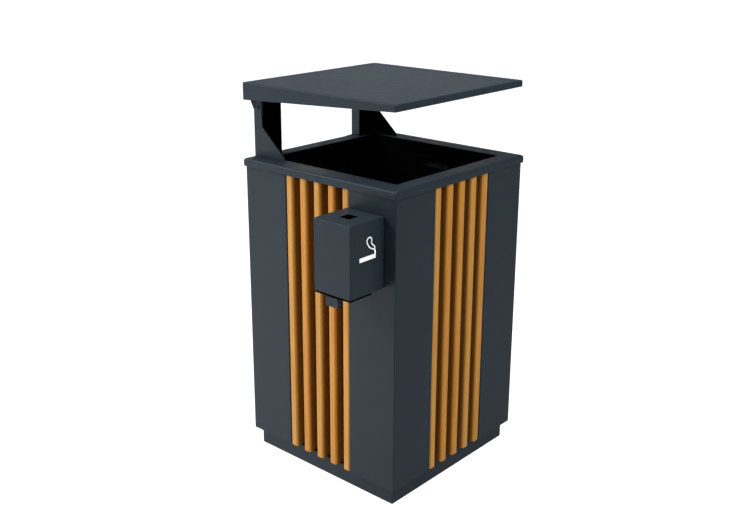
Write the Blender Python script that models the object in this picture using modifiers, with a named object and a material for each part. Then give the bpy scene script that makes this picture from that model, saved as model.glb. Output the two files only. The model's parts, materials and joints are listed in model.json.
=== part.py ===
"""Square street litter bin with timber slats, a canopy on two posts and an ash box on its side.

Units are metres and +Z is up. The origin is the centre of the footprint, on the ground. People throw
litter in from -Y, the ash box hangs on the -X side, and the lid hinges lie along the +Y side.
The lid is the rim, the two posts and the canopy, and it tilts back in one piece.
"""
from math import cos, pi, radians, sin

import bmesh
import bpy
from mathutils import Matrix, Vector

MM = 0.001
GAP = 0.3 * MM            # clearance between pieces that touch
WELD = 0.01 * MM          # distance under which two points of one piece are the same point
THROUGH = 5 * MM          # how far a cutter passes the wall that it cuts

# Driving dimensions
BODY_HALF = 225 * MM      # the body is square in plan
TOTAL_HEIGHT = 900 * MM
PLINTH_HEIGHT = 42 * MM
PLINTH_INSET = 14 * MM
RIM_TOP = 727 * MM
RIM_DEPTH = 18 * MM
RIM_OVERHANG = 4 * MM
OPENING_HALF_X = 181 * MM
OPENING_HALF_Y = 188 * MM
CANOPY_HALF_X = 224 * MM
CANOPY_REAR = 230 * MM
CANOPY_FRONT = -220 * MM
SHEET = 1.5 * MM          # panels, rim and ash box
PLATE = 3 * MM            # base plate and frame angles

# Body
PANEL_TOP = 712 * MM
BEND = 2 * MM             # outer radius of a folded corner
PLINTH_HALF = BODY_HALF - PLINTH_INSET
PLINTH_SHELF = 27 * MM
PLINTH_SHELF_SHEET = 2 * MM
SLAT_COUNT = 5
SLAT_WIDTH = 20 * MM
SLAT_DEPTH = 25 * MM
SLAT_BACK = BODY_HALF - SLAT_DEPTH
SLAT_PITCH = 42.35 * MM
SLAT_ROUND = 5 * MM
SLAT_SPAN = (SLAT_COUNT - 1) * SLAT_PITCH + SLAT_WIDTH
PANEL_EDGE = SLAT_SPAN / 2 + 0.6 * MM
FRAME_HALF = SLAT_BACK - GAP
FRAME_LEG = 30 * MM
UPPER_FRAME_LEG = 45 * MM
FRAME_FOOT = 20 * MM
LOWER_FRAME_Z = PLINTH_HEIGHT + GAP
UPPER_FRAME_TOP = 693 * MM
ANCHOR_PLACE = 150 * MM
ANCHOR_RADIUS = 6 * MM
DRAIN_PLACE = 60 * MM
DRAIN_RADIUS = 5 * MM
BUFFER_NEAR = 208 * MM    # the rubber blocks, measured from the middle of the body
BUFFER_FAR = 222 * MM
BUFFER_BOTTOM = 690 * MM

# Liner
LINER_TOP_HALF = 177 * MM
LINER_BOTTOM_HALF = 172 * MM
LINER_FLANGE_HALF = 192 * MM
LINER_FLANGE_Z = UPPER_FRAME_TOP + GAP
LINER_FLOOR_Z = 60 * MM
LINER_CORNER = 12 * MM
GRIP_SLOT_Z = 679 * MM
GRIP_SLOT_HALF = 42 * MM
GRIP_SLOT_RADIUS = 9 * MM

# Lid
RIM_HALF = BODY_HALF + RIM_OVERHANG
RIM_ROUND = 6 * MM
RIM_EDGE = 1 * MM         # chamfer round the opening
LIP_BOTTOM = 696.5 * MM
POST_SHEET = 2 * MM
POST_OUTER = 195 * MM
POST_INNER = 134 * MM
POST_REAR = 227.5 * MM
POST_FRONT = 200.5 * MM
GUSSET_TOE = 128 * MM
GUSSET_TOE_Z = 733.5 * MM
GUSSET_TOP_Z = 798 * MM
CANOPY_SHEET = 2 * MM
CANOPY_ROUND = 3 * MM
CANOPY_CORNER = 2.5 * MM
SKIRT_REAR = 40 * MM
SKIRT_FRONT = 15 * MM
POST_TOP = TOTAL_HEIGHT - CANOPY_SHEET - GAP
EAR_BOTTOM = 836 * MM
EAR_REACH = 219.5 * MM
BRACKET_BOTTOM = 822 * MM
HAT_HALF = 22 * MM        # the hat section under the canopy
HAT_BRIM = 12 * MM
HAT_DEPTH = 10 * MM
HAT_WALL = 1.5 * MM
HAT_END = 12 * MM

# Lid hinges: the axis runs along X behind the rim
HINGE_Y = 236 * MM
HINGE_Z = RIM_TOP - RIM_DEPTH
HINGE_X = 150 * MM
HINGE_WIDTH = 60 * MM
KNUCKLE_RADIUS = 5 * MM
PIN_RADIUS = 2.5 * MM
PIN_CLEARANCE = 0.12 * MM
KNUCKLE_GAP = 0.25 * MM
BODY_LEAF_BOTTOM = 655 * MM
BODY_LEAF_TOP = 699 * MM
LID_LEAF_SHEET = 2 * MM

# Lid lock: the axis runs along Y, through the front lip
LOCK_Z = 713 * MM
LOCK_RADIUS = 8 * MM
LOCK_FLANGE = 3 * MM
LOCK_BACK = -OPENING_HALF_Y - 5 * MM
CORE_RADIUS = 5 * MM
CAM_LENGTH = 15 * MM
CAM_HALF_WIDTH = 6 * MM
CAM_SHEET = 2 * MM
KEEPER_LEFT = 10 * MM
KEEPER_RIGHT = 30 * MM
KEEPER_TOP = 722.5 * MM
KEEPER_HOOK = 7 * MM

# Ash box
ASH_OUTER = -330 * MM
ASH_INNER = -227 * MM
ASH_Y = -144.75 * MM
ASH_HALF_Y = 50.75 * MM
ASH_TOP = 671 * MM
ASH_BOTTOM = 515.5 * MM
ASH_ROUND_TOP = 3 * MM
ASH_ROUND_SIDE = 2 * MM
ASH_HOLE = 29 * MM
BRACKET_HALF_Y = 38 * MM
BRACKET_LOW = 530 * MM
BRACKET_HIGH = 655 * MM
BOLT_RADIUS = 4 * MM
BOLT_HEAD = 7.5 * MM
BOLT_HEAD_HEIGHT = 5 * MM
BOLT_TIP = -212 * MM
BOLT_HEIGHTS = {"upper": 632 * MM, "lower": 553 * MM}
FLOOR_EDGE = -256 * MM    # the free edge of the fixed strip
FLAP_AXIS_X = -262 * MM
FLAP_AXIS_Z = 513 * MM
FLAP_BOTTOM = 510.5 * MM
FLAP_INSET = 1.5 * MM
FLAP_KNUCKLE = 2.4 * MM
FLAP_KNUCKLE_HALF = 15 * MM
FLAP_ARM_END = 38 * MM
FLAP_ARM = 6 * MM
FLAP_PIN = 1.2 * MM
FLAP_PIN_HALF = 40 * MM
LUG_HALF = 16.5 * MM
LUG_DEPTH = 12.5 * MM
LUG_BOTTOM = 490 * MM
LUG_HOLE_Z = 496 * MM
LUG_HOLE_RADIUS = 2.5 * MM

SIDES = ("front", "right", "rear", "left")


# Tools

def clear_scene():
    for item in list(bpy.data.objects):
        bpy.data.objects.remove(item)


def new_collection(name):
    group = bpy.data.collections.new(name)
    bpy.context.scene.collection.children.link(group)
    return group


def make_material(name, colour, roughness, metallic):
    material = bpy.data.materials.new(name)
    material.use_nodes = True
    shader = material.node_tree.nodes["Principled BSDF"]
    shader.inputs["Base Color"].default_value = (*colour, 1)
    shader.inputs["Roughness"].default_value = roughness
    shader.inputs["Metallic"].default_value = metallic
    return material


clear_scene()
PARTS = new_collection("litter_bin")
CUTTERS = new_collection("litter_bin_cutters")
PAINTED = make_material("anthracite_powder_coat", (0.055, 0.068, 0.082), 0.45, 0.0)
BLACK = make_material("black_powder_coat", (0.008, 0.009, 0.011), 0.55, 0.0)
TIMBER = make_material("oiled_timber", (0.60, 0.31, 0.09), 0.5, 0.0)
ZINC = make_material("zinc_plated_steel", (0.42, 0.43, 0.45), 0.35, 1.0)
RUBBER = make_material("black_rubber", (0.015, 0.015, 0.016), 0.8, 0.0)


def mesh_from(bm, name):
    mesh = bpy.data.meshes.new(name)
    bm.to_mesh(mesh)
    bm.free()
    return mesh


def add_part(name, mesh, material, location=(0, 0, 0), turn=0.0):
    part = bpy.data.objects.new(name, mesh)
    if not mesh.materials:
        mesh.materials.append(material)
    part.location = location
    part.rotation_euler.z = turn
    PARTS.objects.link(part)
    return part


def add_cutter(name, mesh):
    cutter = bpy.data.objects.new(name, mesh)
    cutter.hide_render = True
    cutter.display_type = "WIRE"
    CUTTERS.objects.link(cutter)
    return cutter


def boolean(part, tool_mesh, operation="DIFFERENCE"):
    """Cut a mesh away from a part, or join it to the part."""
    number = len(part.modifiers)
    cutter = add_cutter(f"{part.name}_{operation.lower()}_{number}", tool_mesh)
    modifier = part.modifiers.new(operation.title(), "BOOLEAN")
    modifier.object = cutter
    modifier.operation = operation
    modifier.solver = "EXACT"


def solidify(part, thickness):
    """Give an open surface its thickness, on the side away from its normals."""
    modifier = part.modifiers.new("Sheet", "SOLIDIFY")
    modifier.thickness = thickness
    modifier.offset = -1
    modifier.use_even_offset = True


def pivot(name, location):
    empty = bpy.data.objects.new(name, None)
    empty.location = location
    empty.empty_display_size = 30 * MM
    PARTS.objects.link(empty)
    return empty


def hang(part, empty):
    """Put a part's origin frame on a joint's axis without moving the part."""
    part.parent = empty
    part.location = Vector(part.location) - empty.location
    return part


def block(low, high):
    """A box between two corners."""
    low, high = Vector(low), Vector(high)
    size = high - low
    place = Matrix.Translation((low + high) / 2) @ Matrix.Diagonal((*size, 1))
    bm = bmesh.new()
    bmesh.ops.create_cube(bm, size=1, matrix=place)
    return mesh_from(bm, "block")


AXIS_TURN = {
    "x": Matrix.Rotation(pi / 2, 4, "Y"),
    "y": Matrix.Rotation(-pi / 2, 4, "X"),
    "z": Matrix.Identity(4),
}


def rod(axis, centre, radius, start, end, sides=16, tip_radius=None):
    """A round bar, or a cone, along x, y or z between two positions on that axis."""
    position = Vector(centre)
    position["xyz".index(axis)] = (start + end) / 2
    bm = bmesh.new()
    bmesh.ops.create_cone(
        bm, cap_ends=True, segments=sides, radius1=radius,
        radius2=radius if tip_radius is None else tip_radius,
        depth=abs(end - start), matrix=Matrix.Translation(position) @ AXIS_TURN[axis])
    return mesh_from(bm, "rod")


def arc(centre, radius, start, end, steps):
    """Points on an arc, angles in degrees."""
    turns = [radians(start + (end - start) * i / steps) for i in range(steps + 1)]
    return [(centre[0] + radius * cos(t), centre[1] + radius * sin(t)) for t in turns]


def circle(centre, radius, sides=16):
    return arc(centre, radius, 0, 360, sides)[:-1]


# How an outline's two coordinates and its thickness lie in space
PLANES = {
    "xy": Matrix(((1, 0, 0), (0, 1, 0), (0, 0, 1))).to_4x4(),
    "yz": Matrix(((0, 0, 1), (1, 0, 0), (0, 1, 0))).to_4x4(),
    "xz": Matrix(((1, 0, 0), (0, 0, -1), (0, 1, 0))).to_4x4(),
}


def plate(outline, plane, start, end, holes=()):
    """A flat outline in a plane, thick from start to end along the third axis."""
    curve = bpy.data.curves.new("outline", "CURVE")
    curve.dimensions = "2D"
    curve.fill_mode = "BOTH"
    curve.extrude = abs(end - start) / 2
    for ring in (outline, *holes):
        spline = curve.splines.new("POLY")
        spline.points.add(len(ring) - 1)
        spline.use_cyclic_u = True
        for point, (u, v) in zip(spline.points, ring):
            point.co = (u, v, 0, 1)
    source = bpy.data.objects.new("outline", curve)
    bpy.context.scene.collection.objects.link(source)
    depsgraph = bpy.context.evaluated_depsgraph_get()
    mesh = bpy.data.meshes.new_from_object(source.evaluated_get(depsgraph))
    bpy.data.objects.remove(source)
    third = {"xy": 2, "yz": 0, "xz": 1}[plane]
    offset = Vector((0, 0, 0))
    offset[third] = (start + end) / 2
    bm = bmesh.new()
    bm.from_mesh(mesh)
    bpy.data.meshes.remove(mesh)
    bmesh.ops.remove_doubles(bm, verts=bm.verts, dist=WELD)
    bmesh.ops.transform(bm, matrix=Matrix.Translation(offset) @ PLANES[plane], verts=bm.verts)
    bmesh.ops.recalc_face_normals(bm, faces=bm.faces)
    return mesh_from(bm, "plate")


def rectangle_loop(half_x, half_y, radius, height, steps=3, centre=(0, 0)):
    """A rounded rectangle, anticlockwise from its +X +Y corner. height is a number or f(x, y)."""
    corners = ((1, 1, 0), (-1, 1, 90), (-1, -1, 180), (1, -1, 270))
    points = []
    for sign_x, sign_y, first in corners:
        middle = (centre[0] + sign_x * (half_x - radius), centre[1] + sign_y * (half_y - radius))
        points += arc(middle, radius, first, first + 90, steps) if radius else [middle]
    level = height if callable(height) else lambda x, y: height
    return [Vector((x, y, level(x, y))) for x, y in points]


def loft(loops, close=False, cap_first=False, cap_last=False):
    """Faces between loops of equal length. Anticlockwise loops that rise have outward faces."""
    bm = bmesh.new()
    rows = [[bm.verts.new(point) for point in loop] for loop in loops]
    pairs = list(zip(rows, rows[1:]))
    if close:
        pairs.append((rows[-1], rows[0]))
    for lower, upper in pairs:
        for i in range(len(lower)):
            j = (i + 1) % len(lower)
            bm.faces.new((lower[i], lower[j], upper[j], upper[i]))
    if cap_first:
        bm.faces.new(reversed(rows[0]))
    if cap_last:
        bm.faces.new(rows[-1])
    if close or (cap_first and cap_last):
        bmesh.ops.recalc_face_normals(bm, faces=bm.faces)
    return mesh_from(bm, "loft")


def square_ring(outer, profile):
    """A square ring, its section drawn as distances in from the outer faces and heights."""
    return loft([rectangle_loop(outer - inset, outer - inset, 0, z) for inset, z in profile], close=True)


# Base and body

def base_plate():
    half = PLINTH_HALF - SHEET - GAP
    outline = [(half, half), (-half, half), (-half, -half), (half, -half)]
    signs = [(i, j) for i in (-1, 1) for j in (-1, 1)]
    holes = [circle((i * ANCHOR_PLACE, j * ANCHOR_PLACE), ANCHOR_RADIUS, 12) for i, j in signs]
    holes += [circle((i * DRAIN_PLACE, j * DRAIN_PLACE), DRAIN_RADIUS, 8) for i, j in signs]
    add_part("base_plate", plate(outline, "xy", 0, PLATE, holes), PAINTED)


def plinth_frame():
    """The recessed skirt under the body, with a shelf turned in at its top."""
    top, under = PLINTH_HEIGHT, PLINTH_HEIGHT - PLINTH_SHELF_SHEET
    profile = ((0, 0), (0, top), (PLINTH_SHELF, top), (PLINTH_SHELF, under), (SHEET, under), (SHEET, 0))
    add_part("plinth_frame", square_ring(PLINTH_HALF, profile), PAINTED)


def slat_frame(name, foot_z, leg_end, foot_sheet):
    """An angle ring behind the slats: an upright leg, and a foot turned in at one end of it."""
    inner_z = foot_z + foot_sheet
    profile = ((0, foot_z), (0, leg_end), (PLATE, leg_end), (PLATE, inner_z),
               (FRAME_FOOT, inner_z), (FRAME_FOOT, foot_z))
    add_part(name, square_ring(FRAME_HALF, profile), PAINTED)


def slat_frames():
    """The lower frame ties the slats to the plinth. The upper one also carries the liner."""
    slat_frame("lower_frame", LOWER_FRAME_Z, LOWER_FRAME_Z + FRAME_LEG, PLATE)
    slat_frame("upper_frame", UPPER_FRAME_TOP, UPPER_FRAME_TOP - UPPER_FRAME_LEG, -PLATE)


def corner_panels():
    """Four folded corners, each with an edge turned in beside the slats."""
    edge, outer, round_ = PANEL_EDGE, BODY_HALF, BEND
    path = [(edge, SLAT_BACK)]
    path += arc((edge + round_, outer - round_), round_, 180, 90, 2)
    path += arc((outer - round_, outer - round_), round_, 90, 0, 3)
    path += arc((outer - round_, edge + round_), round_, 0, -90, 2)
    path += [(SLAT_BACK, edge)]
    bm = bmesh.new()
    bottom = [bm.verts.new((x, y, PLINTH_HEIGHT)) for x, y in path]
    top = [bm.verts.new((x, y, PANEL_TOP)) for x, y in path]
    for i in range(len(path) - 1):
        bm.faces.new((bottom[i + 1], bottom[i], top[i], top[i + 1]))
    mesh = mesh_from(bm, "corner_panel")
    panels = {}
    for i, corner in enumerate(("rear_right", "rear_left", "front_left", "front_right")):
        panels[corner] = add_part(f"corner_panel_{corner}", mesh, PAINTED, turn=i * pi / 2)
        solidify(panels[corner], SHEET)
    return panels


def slats():
    """Five upright slats on each side, with rounded front edges."""
    half = SLAT_WIDTH / 2
    front, round_ = -BODY_HALF, SLAT_ROUND
    outline = [(half, -SLAT_BACK), (-half, -SLAT_BACK)]
    outline += arc((round_ - half, front + round_), round_, 180, 270, 3)
    outline += arc((half - round_, front + round_), round_, 270, 360, 3)
    mesh = plate(outline, "xy", PLINTH_HEIGHT + GAP, PANEL_TOP)
    for i, side in enumerate(SIDES):
        turn = Matrix.Rotation(i * pi / 2, 3, "Z")
        for j in range(SLAT_COUNT):
            across = (j - (SLAT_COUNT - 1) / 2) * SLAT_PITCH
            place = turn @ Vector((across, 0, 0))
            add_part(f"slat_{side}_{j + 1}", mesh, TIMBER, place, i * pi / 2)


def liner():
    """The bucket that holds the litter: it hangs by its flange on the upper frame."""
    top = LINER_FLANGE_Z + SHEET
    wall = SHEET
    inner_floor = LINER_FLOOR_Z + wall
    sections = (
        (LINER_BOTTOM_HALF, LINER_FLOOR_Z), (LINER_TOP_HALF, LINER_FLANGE_Z),
        (LINER_FLANGE_HALF, LINER_FLANGE_Z), (LINER_FLANGE_HALF, top),
        (LINER_TOP_HALF - wall, top), (LINER_BOTTOM_HALF - wall, inner_floor))
    loops = [rectangle_loop(half, half, LINER_CORNER, z, 2) for half, z in sections]
    part = add_part("liner", loft(loops, cap_first=True, cap_last=True), BLACK)
    slot = arc((GRIP_SLOT_HALF, GRIP_SLOT_Z), GRIP_SLOT_RADIUS, -90, 90, 6)
    slot += arc((-GRIP_SLOT_HALF, GRIP_SLOT_Z), GRIP_SLOT_RADIUS, 90, 270, 6)
    reach = LINER_TOP_HALF + THROUGH
    boolean(part, plate(slot, "yz", -reach, reach))


def lid_buffers():
    """Rubber blocks glued inside the corners of the panels: the closed rim rests on them."""
    top = RIM_TOP - SHEET - GAP
    for row, j in (("front", -1), ("rear", 1)):
        for side, i in (("left", -1), ("right", 1)):
            xs = sorted((i * BUFFER_NEAR, i * BUFFER_FAR))
            ys = sorted((j * BUFFER_NEAR, j * BUFFER_FAR))
            mesh = block((xs[0], ys[0], BUFFER_BOTTOM), (xs[1], ys[1], top))
            add_part(f"lid_buffer_{row}_{side}", mesh, RUBBER)


# Lid

def rim_frame(lid):
    """A folded square ring: rounded outer edge, short outer skirt, longer inner lip."""
    def outer(inset, z):
        return RIM_HALF - inset, RIM_HALF - inset, z

    def inner(depth, z):
        return OPENING_HALF_X + depth, OPENING_HALF_Y + depth, z

    under = RIM_TOP - SHEET
    skirt_bottom = RIM_TOP - RIM_DEPTH
    sections = [outer(SHEET, skirt_bottom), outer(0, skirt_bottom)]
    for inset, z in arc((RIM_ROUND, RIM_TOP - RIM_ROUND), RIM_ROUND, 180, 90, 3):
        sections.append(outer(inset, z))
    sections += [inner(RIM_EDGE, RIM_TOP), inner(0, RIM_TOP - RIM_EDGE), inner(0, LIP_BOTTOM)]
    sections += [inner(SHEET, LIP_BOTTOM), inner(SHEET, under), outer(RIM_ROUND, under)]
    for inset, z in arc((RIM_ROUND, RIM_TOP - RIM_ROUND), RIM_ROUND - SHEET, 120, 180, 2)[:2]:
        sections.append(outer(inset, z))
    sections.append(outer(SHEET, RIM_TOP - RIM_ROUND))
    loops = [rectangle_loop(x, y, BEND, z, 2) for x, y, z in sections]
    part = hang(add_part("rim_frame", loft(loops, close=True), PAINTED), lid)
    hole = rod("y", (0, 0, LOCK_Z), LOCK_RADIUS + GAP, -OPENING_HALF_Y - SHEET - THROUGH,
               -OPENING_HALF_Y + THROUGH, 16)
    boolean(part, hole)


def canopy_post(name, side, lid):
    """A channel that is open to the front, its outer wall spread into a gusset on the rim."""
    foot = RIM_TOP + GAP
    gusset = ((POST_REAR, foot), (GUSSET_TOE, foot), (GUSSET_TOE, GUSSET_TOE_Z),
              (POST_FRONT, GUSSET_TOP_Z), (POST_FRONT, POST_TOP), (POST_REAR, POST_TOP))
    bm = bmesh.new()
    outer = [bm.verts.new((side * POST_OUTER, y, z)) for y, z in gusset]
    rear = [bm.verts.new((side * POST_INNER, POST_REAR, z)) for z in (foot, POST_TOP)]
    front = [bm.verts.new((side * POST_INNER, POST_FRONT, z)) for z in (foot, POST_TOP)]
    walls = [outer, (outer[5], rear[1], rear[0], outer[0]), (rear[0], rear[1], front[1], front[0])]
    for wall in walls:
        bm.faces.new(wall if side > 0 else tuple(reversed(wall)))
    bmesh.ops.reverse_faces(bm, faces=bm.faces)
    part = hang(add_part(name, mesh_from(bm, name), PAINTED), lid)
    solidify(part, POST_SHEET)


def canopy_gusset(name, side, lid):
    """The ear that ties the rear of a post to the canopy."""
    near, far = side * (POST_OUTER + GAP), side * EAR_REACH
    outline = [(near, EAR_BOTTOM), (far, POST_TOP), (near, POST_TOP)]
    mesh = plate(outline, "xz", POST_REAR - POST_SHEET, POST_REAR)
    hang(add_part(name, mesh, PAINTED), lid)


def canopy_bracket(name, side, lid):
    """An angle inside the post: one leg on the post, the other under the canopy."""
    outside = POST_OUTER - POST_SHEET - GAP
    inside = POST_INNER + POST_SHEET + GAP
    back = POST_REAR - POST_SHEET - GAP
    outline = [(outside, POST_TOP), (outside, BRACKET_BOTTOM), (outside - PLATE, BRACKET_BOTTOM),
               (outside - PLATE, POST_TOP - PLATE), (inside, POST_TOP - PLATE), (inside, POST_TOP)]
    outline = [(side * x, z) for x, z in outline]
    hang(add_part(name, plate(outline, "xz", POST_FRONT, back), PAINTED), lid)


def canopy(lid):
    """A shallow folded tray, deeper at the rear, with welded corners."""
    middle_y = (CANOPY_REAR + CANOPY_FRONT) / 2
    half_y = (CANOPY_REAR - CANOPY_FRONT) / 2

    def skirt(x, y):
        share = (y - CANOPY_FRONT) / (CANOPY_REAR - CANOPY_FRONT)
        return TOTAL_HEIGHT - SKIRT_FRONT - share * (SKIRT_REAR - SKIRT_FRONT)

    def section(inset, height):
        return rectangle_loop(CANOPY_HALF_X - inset, half_y - inset, CANOPY_CORNER - inset / 2, height,
                              2, (0, middle_y))

    loops = [section(0, skirt)]
    for inset, z in arc((CANOPY_ROUND, TOTAL_HEIGHT - CANOPY_ROUND), CANOPY_ROUND, 180, 90, 3):
        loops.append(section(inset, z))
    part = hang(add_part("canopy", loft(loops, cap_last=True), PAINTED), lid)
    solidify(part, CANOPY_SHEET)


def canopy_stiffener(lid):
    """A shallow hat section along the middle that keeps the overhanging sheet flat."""
    top, bottom = POST_TOP, POST_TOP - HAT_DEPTH
    half_outline = [(HAT_HALF - HAT_WALL, bottom + HAT_WALL), (HAT_HALF - HAT_WALL, top),
                    (HAT_HALF + HAT_BRIM, top), (HAT_HALF + HAT_BRIM, top - HAT_WALL),
                    (HAT_HALF, top - HAT_WALL), (HAT_HALF, bottom)]
    outline = half_outline + [(-x, z) for x, z in reversed(half_outline)]
    mesh = plate(outline, "xz", CANOPY_FRONT + HAT_END, POST_FRONT - HAT_END)
    hang(add_part("canopy_stiffener", mesh, PAINTED), lid)


# Lid hinges

def hinge_hole(x_low, x_high):
    radius = PIN_RADIUS + PIN_CLEARANCE
    return rod("x", (0, HINGE_Y, HINGE_Z), radius, x_low - THROUGH, x_high + THROUGH, 16)


def body_hinge_leaf(name, x):
    """The fixed leaf: a plate on the rear panel and one arm out to the middle knuckle."""
    seat = BODY_HALF + GAP
    half, arm = HINGE_WIDTH / 2, HINGE_WIDTH / 6 - KNUCKLE_GAP
    leaf = block((x - half, seat, BODY_LEAF_BOTTOM), (x + half, seat + PLATE, BODY_LEAF_TOP))
    part = add_part(name, leaf, ZINC)
    sunk = seat + PLATE / 3
    root = BODY_LEAF_BOTTOM + 9 * MM
    outline = [(sunk, root), (seat + PLATE - 0.5 * MM, root), (HINGE_Y + 1 * MM, BODY_LEAF_TOP - 2 * MM)]
    outline += arc((HINGE_Y, HINGE_Z), KNUCKLE_RADIUS, -15, 180, 9)
    outline += [(sunk, BODY_LEAF_TOP - 3 * MM)]
    boolean(part, plate(outline, "yz", x - arm, x + arm), "UNION")
    boolean(part, hinge_hole(x - arm, x + arm))


def lid_hinge_leaf(name, x, lid):
    """The moving leaf: a plate on the rim's rear skirt and two arms down to the outer knuckles."""
    seat = RIM_HALF + GAP
    half, arm = HINGE_WIDTH / 2, HINGE_WIDTH / 6 + KNUCKLE_GAP
    bottom, top = HINGE_Z + KNUCKLE_RADIUS + 1.5 * MM, RIM_TOP - 1 * MM
    leaf = block((x - half, seat, bottom), (x + half, seat + LID_LEAF_SHEET, top))
    part = hang(add_part(name, leaf, ZINC), lid)
    sunk, shoulder = seat + LID_LEAF_SHEET / 4, top - 2 * MM
    outline = [(sunk, shoulder), (sunk, HINGE_Z)]
    outline += arc((HINGE_Y, HINGE_Z), KNUCKLE_RADIUS, 200, 440, 11)
    outline += [(seat + 3 * MM, bottom + 3 * MM), (seat + 1.5 * MM, shoulder)]
    for start, end in ((x - half + KNUCKLE_GAP, x - arm), (x + arm, x + half - KNUCKLE_GAP)):
        boolean(part, plate(outline, "yz", start, end), "UNION")
    boolean(part, hinge_hole(x - half, x + half))


def hinges(lid):
    for label, x in (("left", -HINGE_X), ("right", HINGE_X)):
        body_hinge_leaf(f"body_hinge_leaf_{label}", x)
        lid_hinge_leaf(f"lid_hinge_leaf_{label}", x, lid)
        reach = HINGE_WIDTH / 2 + 1 * MM
        pin = rod("x", (0, HINGE_Y, HINGE_Z), PIN_RADIUS, x - reach, x + reach, 16)
        add_part(f"hinge_pin_{label}", pin, ZINC)


# Lid lock

def lock(lid, cam_pivot):
    """A key lock in the front lip. Its cam turns under a keeper on the upper frame."""
    axis = (0, 0, LOCK_Z)
    face = -OPENING_HALF_Y + GAP
    tube = rod("y", axis, LOCK_RADIUS, LOCK_BACK, face + 1 * MM, 20)
    barrel = hang(add_part("lock_barrel", tube, ZINC), lid)
    boolean(barrel, rod("y", axis, LOCK_RADIUS + LOCK_FLANGE, face, face + 2 * MM, 20), "UNION")
    bore = CORE_RADIUS + PIN_CLEARANCE
    boolean(barrel, rod("y", axis, bore, LOCK_BACK - THROUGH, face + THROUGH, 20))
    core = rod("y", axis, CORE_RADIUS, LOCK_BACK, face + 1.6 * MM, 20)
    hang(add_part("lock_core", core, ZINC), cam_pivot)
    tip = CAM_HALF_WIDTH - 1 * MM
    outline = arc((0, LOCK_Z), CAM_HALF_WIDTH, 0, 180, 8)
    outline += [(-tip, LOCK_Z - CAM_LENGTH), (tip, LOCK_Z - CAM_LENGTH)]
    cam = plate(outline, "xz", LOCK_BACK - GAP - CAM_SHEET, LOCK_BACK - GAP)
    hang(add_part("lock_cam", cam, ZINC), cam_pivot)


def lock_keeper():
    """A hooked plate that stands on the upper frame beside the lock."""
    rear, foot = -FRAME_HALF + GAP, UPPER_FRAME_TOP + GAP
    under = KEEPER_TOP - 2.5 * MM
    outline = [(rear, foot), (rear + PLATE, foot), (rear + PLATE, under),
               (rear + KEEPER_HOOK, under), (rear + KEEPER_HOOK, KEEPER_TOP), (rear, KEEPER_TOP)]
    add_part("lock_keeper", plate(outline, "yz", KEEPER_LEFT, KEEPER_RIGHT), ZINC)


# Ash box

def ash_housing():
    """A folded box with soft top edges, a square stub hole and an open bottom."""
    half_x = (ASH_INNER - ASH_OUTER) / 2
    centre = ((ASH_INNER + ASH_OUTER) / 2, ASH_Y)

    def section(inset, height):
        return rectangle_loop(half_x - inset, ASH_HALF_Y - inset, ASH_ROUND_SIDE, height, 2, centre)

    loops = [section(0, ASH_BOTTOM)]
    for inset, z in arc((ASH_ROUND_TOP, ASH_TOP - ASH_ROUND_TOP), ASH_ROUND_TOP, 180, 90, 4):
        loops.append(section(inset, z))
    part = add_part("ash_box_housing", loft(loops, cap_last=True), PAINTED)
    solidify(part, SHEET)
    reach = ASH_HOLE / 2
    boolean(part, block((centre[0] - reach, ASH_Y - reach, ASH_TOP - 10 * MM),
                        (centre[0] + reach, ASH_Y + reach, ASH_TOP + THROUGH)))
    return part


def ash_mounting(housing, panel):
    """The bracket between the panel and the box, and the two bolts through all three."""
    inner, outer = -BODY_HALF - GAP, ASH_INNER + GAP
    spacer = block((outer, ASH_Y - BRACKET_HALF_Y, BRACKET_LOW),
                   (inner, ASH_Y + BRACKET_HALF_Y, BRACKET_HIGH))
    bracket = add_part("ash_box_bracket", spacer, PAINTED)
    head_seat = ASH_INNER - SHEET - GAP
    for label, z in BOLT_HEIGHTS.items():
        axis = (0, ASH_Y, z)
        shank = rod("x", axis, BOLT_RADIUS, head_seat - 1 * MM, BOLT_TIP, 10)
        bolt = add_part(f"ash_box_bolt_{label}", shank, ZINC)
        boolean(bolt, rod("x", axis, BOLT_HEAD, head_seat - BOLT_HEAD_HEIGHT, head_seat, 6), "UNION")
        for part in (housing, bracket, panel):
            boolean(part, rod("x", axis, BOLT_RADIUS + GAP, ASH_INNER - THROUGH, BOLT_TIP, 10))


def flap_hole(half):
    """A cutter for the flap's pin, clear of it all round."""
    centre = (FLAP_AXIS_X, 0, FLAP_AXIS_Z)
    return rod("y", centre, FLAP_PIN + PIN_CLEARANCE, ASH_Y - half, ASH_Y + half, 12)


def ash_floor():
    """The fixed rear strip of the ash box's bottom, with the middle knuckle of the flap's hinge."""
    half_y = ASH_HALF_Y - SHEET - 1 * MM
    strip = block((FLOOR_EDGE, ASH_Y - half_y, ASH_BOTTOM),
                  (ASH_INNER - SHEET - 1 * MM, ASH_Y + half_y, ASH_BOTTOM + SHEET))
    part = add_part("ash_box_floor", strip, PAINTED)
    root, crown = FLOOR_EDGE + FLAP_ARM, ASH_BOTTOM + 0.9 * MM
    arm = [(root, crown), (FLAP_AXIS_X, crown)]
    arm += arc((FLAP_AXIS_X, FLAP_AXIS_Z), FLAP_KNUCKLE, 90, 360, 9)
    arm += [(FLOOR_EDGE - 1 * MM, ASH_BOTTOM - 0.7 * MM), (root, ASH_BOTTOM + 0.4 * MM)]
    knuckle = plate(arm, "xz", ASH_Y - FLAP_KNUCKLE_HALF, ASH_Y + FLAP_KNUCKLE_HALF)
    boolean(part, knuckle, "UNION")
    boolean(part, flap_hole(FLAP_KNUCKLE_HALF + THROUGH))
    centre = (FLAP_AXIS_X, 0, FLAP_AXIS_Z)
    pin = rod("y", centre, FLAP_PIN, ASH_Y - FLAP_PIN_HALF, ASH_Y + FLAP_PIN_HALF, 12)
    add_part("ash_flap_pin", pin, ZINC)


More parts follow.
